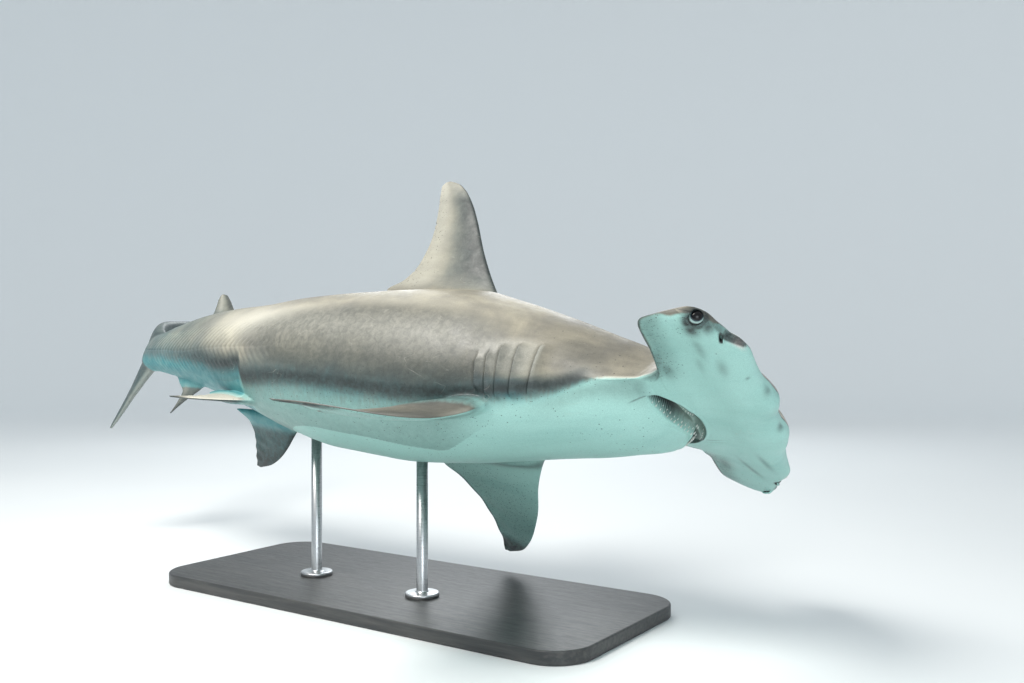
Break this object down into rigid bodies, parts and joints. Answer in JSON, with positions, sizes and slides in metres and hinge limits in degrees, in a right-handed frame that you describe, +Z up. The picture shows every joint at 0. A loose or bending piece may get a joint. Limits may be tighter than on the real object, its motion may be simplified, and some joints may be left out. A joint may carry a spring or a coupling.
{
  "type": "great hammerhead shark",
  "caption": "Life-size great hammerhead shark model, banked and turning with a swept tail, open mouth, gill flaps and thin fins, held over a flat rounded base by short rods.",
  "frame": {"origin": "on the floor under the centre of the stand's base", "axes": "+X towards the head, +Y to the animal's left, +Z up"},
  "size_m": [2.8973, 1.7175, 1.2395],
  "materials": {
    "skin": "satin grey-brown above and pale below, with fine mottling",
    "fins": "satin grey with dusky tips",
    "jaw": "satin pale underside",
    "eye": "glossy dark",
    "base": "satin dark grey paint",
    "rod": "brushed bare metal"
  },
  "bodies": {
    "root": {"head": "skin", "lower_jaw": "jaw", "eye_left": "eye", "eye_right": "eye", "neck_with_gills": "skin", "torso_front": "skin", "torso_rear": "skin", "tail_stalk": "skin", "pectoral_fin_left": "fins", "pectoral_fin_right": "fins", "pelvic_fin_left": "fins", "pelvic_fin_right": "fins", "dorsal_fin_first": "fins", "dorsal_fin_second": "fins", "anal_fin": "fins", "caudal_fin_upper_lobe": "fins", "caudal_fin_lower_lobe": "fins", "stand_base": "base", "stand_rod_front": "rod", "stand_rod_rear": "rod"}
  },
  "joints": []
}
